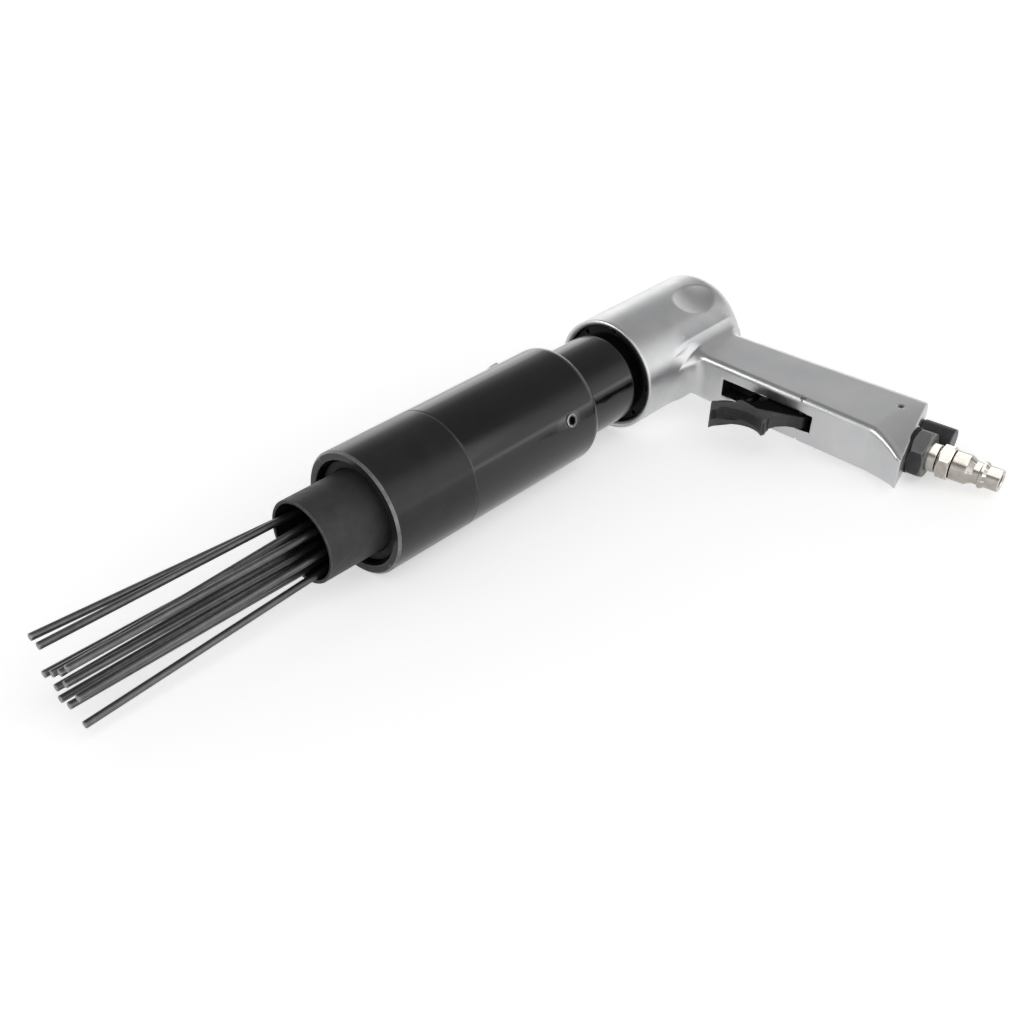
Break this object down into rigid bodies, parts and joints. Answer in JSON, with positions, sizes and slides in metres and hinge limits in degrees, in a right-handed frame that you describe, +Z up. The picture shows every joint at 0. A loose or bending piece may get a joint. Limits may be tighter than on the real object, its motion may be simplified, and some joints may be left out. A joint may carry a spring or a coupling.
{
  "type": "pneumatic needle scaler",
  "caption": "Pistol-grip pneumatic needle scaler: aluminium handle, black sleeve and nose tube, spread steel needles, sprung trigger, air regulator and quick air plug.",
  "frame": {"origin": "on the bench, under the middle of the tool's bounding box", "axes": "+X along the barrel towards the needle tips, +Y from the barrel towards the handle's end, +Z up off the bench, with the tool lying on its right side"},
  "size_m": [0.3662, 0.2032, 0.055],
  "materials": {
    "aluminium": "satin polished casting",
    "gloss_black": "gloss black",
    "satin_black": "satin black",
    "charcoal": "matte charcoal",
    "needle_steel": "dark drawn steel",
    "steel": "ground steel",
    "nickel": "nickel plate",
    "rubber": "black rubber",
    "brass": "turned brass",
    "black_plastic": "moulded black"
  },
  "bodies": {
    "tool": {"pistol_housing": "aluminium", "exhaust_ring": "rubber", "cylinder": "gloss_black", "sleeve_oring": "rubber", "valve_case": "steel", "needle_housing": "gloss_black", "set_screws": "needle_steel", "front_collar": "satin_black", "front_bush": "satin_black", "nose_tube": "charcoal", "buffer_ring": "rubber", "return_spring": "steel", "trigger_pin": "steel", "throttle_bush": "steel", "throttle_spring": "steel", "inlet_washer": "rubber", "inlet_bushing": "gloss_black", "inlet_screen": "brass", "coupler_plug": "nickel", "regulator_pin": "steel"},
    "piston": {"piston": "steel"},
    "valve_plate": {"valve_plate": "steel"},
    "needle_pack": {"anvil": "steel", "needle_holder": "steel"},
    "needle_01": {"needle_01": "needle_steel"},
    "needle_02": {"needle_02": "needle_steel"},
    "needle_03": {"needle_03": "needle_steel"},
    "needle_04": {"needle_04": "needle_steel"},
    "needle_05": {"needle_05": "needle_steel"},
    "needle_06": {"needle_06": "needle_steel"},
    "needle_07": {"needle_07": "needle_steel"},
    "needle_08": {"needle_08": "needle_steel"},
    "needle_09": {"needle_09": "needle_steel"},
    "needle_10": {"needle_10": "needle_steel"},
    "needle_11": {"needle_11": "needle_steel"},
    "needle_12": {"needle_12": "needle_steel"},
    "trigger": {"trigger": "black_plastic"},
    "throttle_valve": {"throttle_valve": "steel"},
    "regulator": {"regulator": "black_plastic", "regulator_oring": "rubber"}
  },
  "joints": [
    {"name": "trigger_pull", "type": "hinge", "parent": "tool", "child": "trigger", "pos_m": [-0.1418, 0.0124, 0.01783], "axis": [0, -0.1111, -0.9938], "range_deg": [0, 5], "stiffness_Nm_per_rad": 1, "springref_deg": -5.73},
    {"name": "throttle_open", "type": "slide", "parent": "tool", "child": "throttle_valve", "axis": [-1, 0, 0], "range_m": [0, 0.0022], "deforming": ["throttle_spring"]},
    {"name": "piston_stroke", "type": "slide", "parent": "tool", "child": "piston", "axis": [1, 0, 0], "range_m": [0, 0.0418]},
    {"name": "valve_flip", "type": "slide", "parent": "tool", "child": "valve_plate", "axis": [1, 0, 0], "range_m": [0, 0.0012]},
    {"name": "pack_stroke", "type": "slide", "parent": "tool", "child": "needle_pack", "axis": [1, 0, 0], "range_m": [0, 0.01], "stiffness_N_per_m": 1500, "springref_m": -0.008, "deforming": ["return_spring"]},
    {"name": "needle_01_play", "type": "slide", "parent": "needle_pack", "child": "needle_01", "axis": [-0.9972, 0.0566, 0.0488], "range_m": [0, 0.003]},
    {"name": "needle_02_play", "type": "slide", "parent": "needle_pack", "child": "needle_02", "axis": [-0.998, 0.0333, 0.054], "range_m": [0, 0.003]},
    {"name": "needle_03_play", "type": "slide", "parent": "needle_pack", "child": "needle_03", "axis": [-0.9998, 0.0138, 0.0107], "range_m": [0, 0.003]},
    {"name": "needle_04_play", "type": "slide", "parent": "needle_pack", "child": "needle_04", "axis": [-0.9977, 0.0186, 0.065], "range_m": [0, 0.003]},
    {"name": "needle_05_play", "type": "slide", "parent": "needle_pack", "child": "needle_05", "axis": [-0.9989, 0.0424, 0.0196], "range_m": [0, 0.003]},
    {"name": "needle_06_play", "type": "slide", "parent": "needle_pack", "child": "needle_06", "axis": [-0.9987, 0.0451, -0.0228], "range_m": [0, 0.003]},
    {"name": "needle_07_play", "type": "slide", "parent": "needle_pack", "child": "needle_07", "axis": [-0.9991, 0.0347, 0.0223], "range_m": [0, 0.003]},
    {"name": "needle_08_play", "type": "slide", "parent": "needle_pack", "child": "needle_08", "axis": [-0.9994, 0.0167, 0.0315], "range_m": [0, 0.003]},
    {"name": "needle_09_play", "type": "slide", "parent": "needle_pack", "child": "needle_09", "axis": [-0.9994, 0.0238, 0.025], "range_m": [0, 0.003]},
    {"name": "needle_10_play", "type": "slide", "parent": "needle_pack", "child": "needle_10", "axis": [-0.997, 0.0161, 0.0755], "range_m": [0, 0.003]},
    {"name": "needle_11_play", "type": "slide", "parent": "needle_pack", "child": "needle_11", "axis": [-0.9989, 0.0198, 0.0426], "range_m": [0, 0.003]},
    {"name": "needle_12_play", "type": "slide", "parent": "needle_pack", "child": "needle_12", "axis": [-0.9999, 0.0124, 0.0116], "range_m": [0, 0.003]},
    {"name": "regulator_turn", "type": "hinge", "parent": "tool", "child": "regulator", "pos_m": [-0.17273, 0.05825, 0.01271], "axis": [-0.1392, 0.9841, -0.11], "range_deg": [0, 180]}
  ],
  "couplings": [
    {"joint": "throttle_open", "follows": "trigger_pull", "m_per_rad": 0.025}
  ]
}
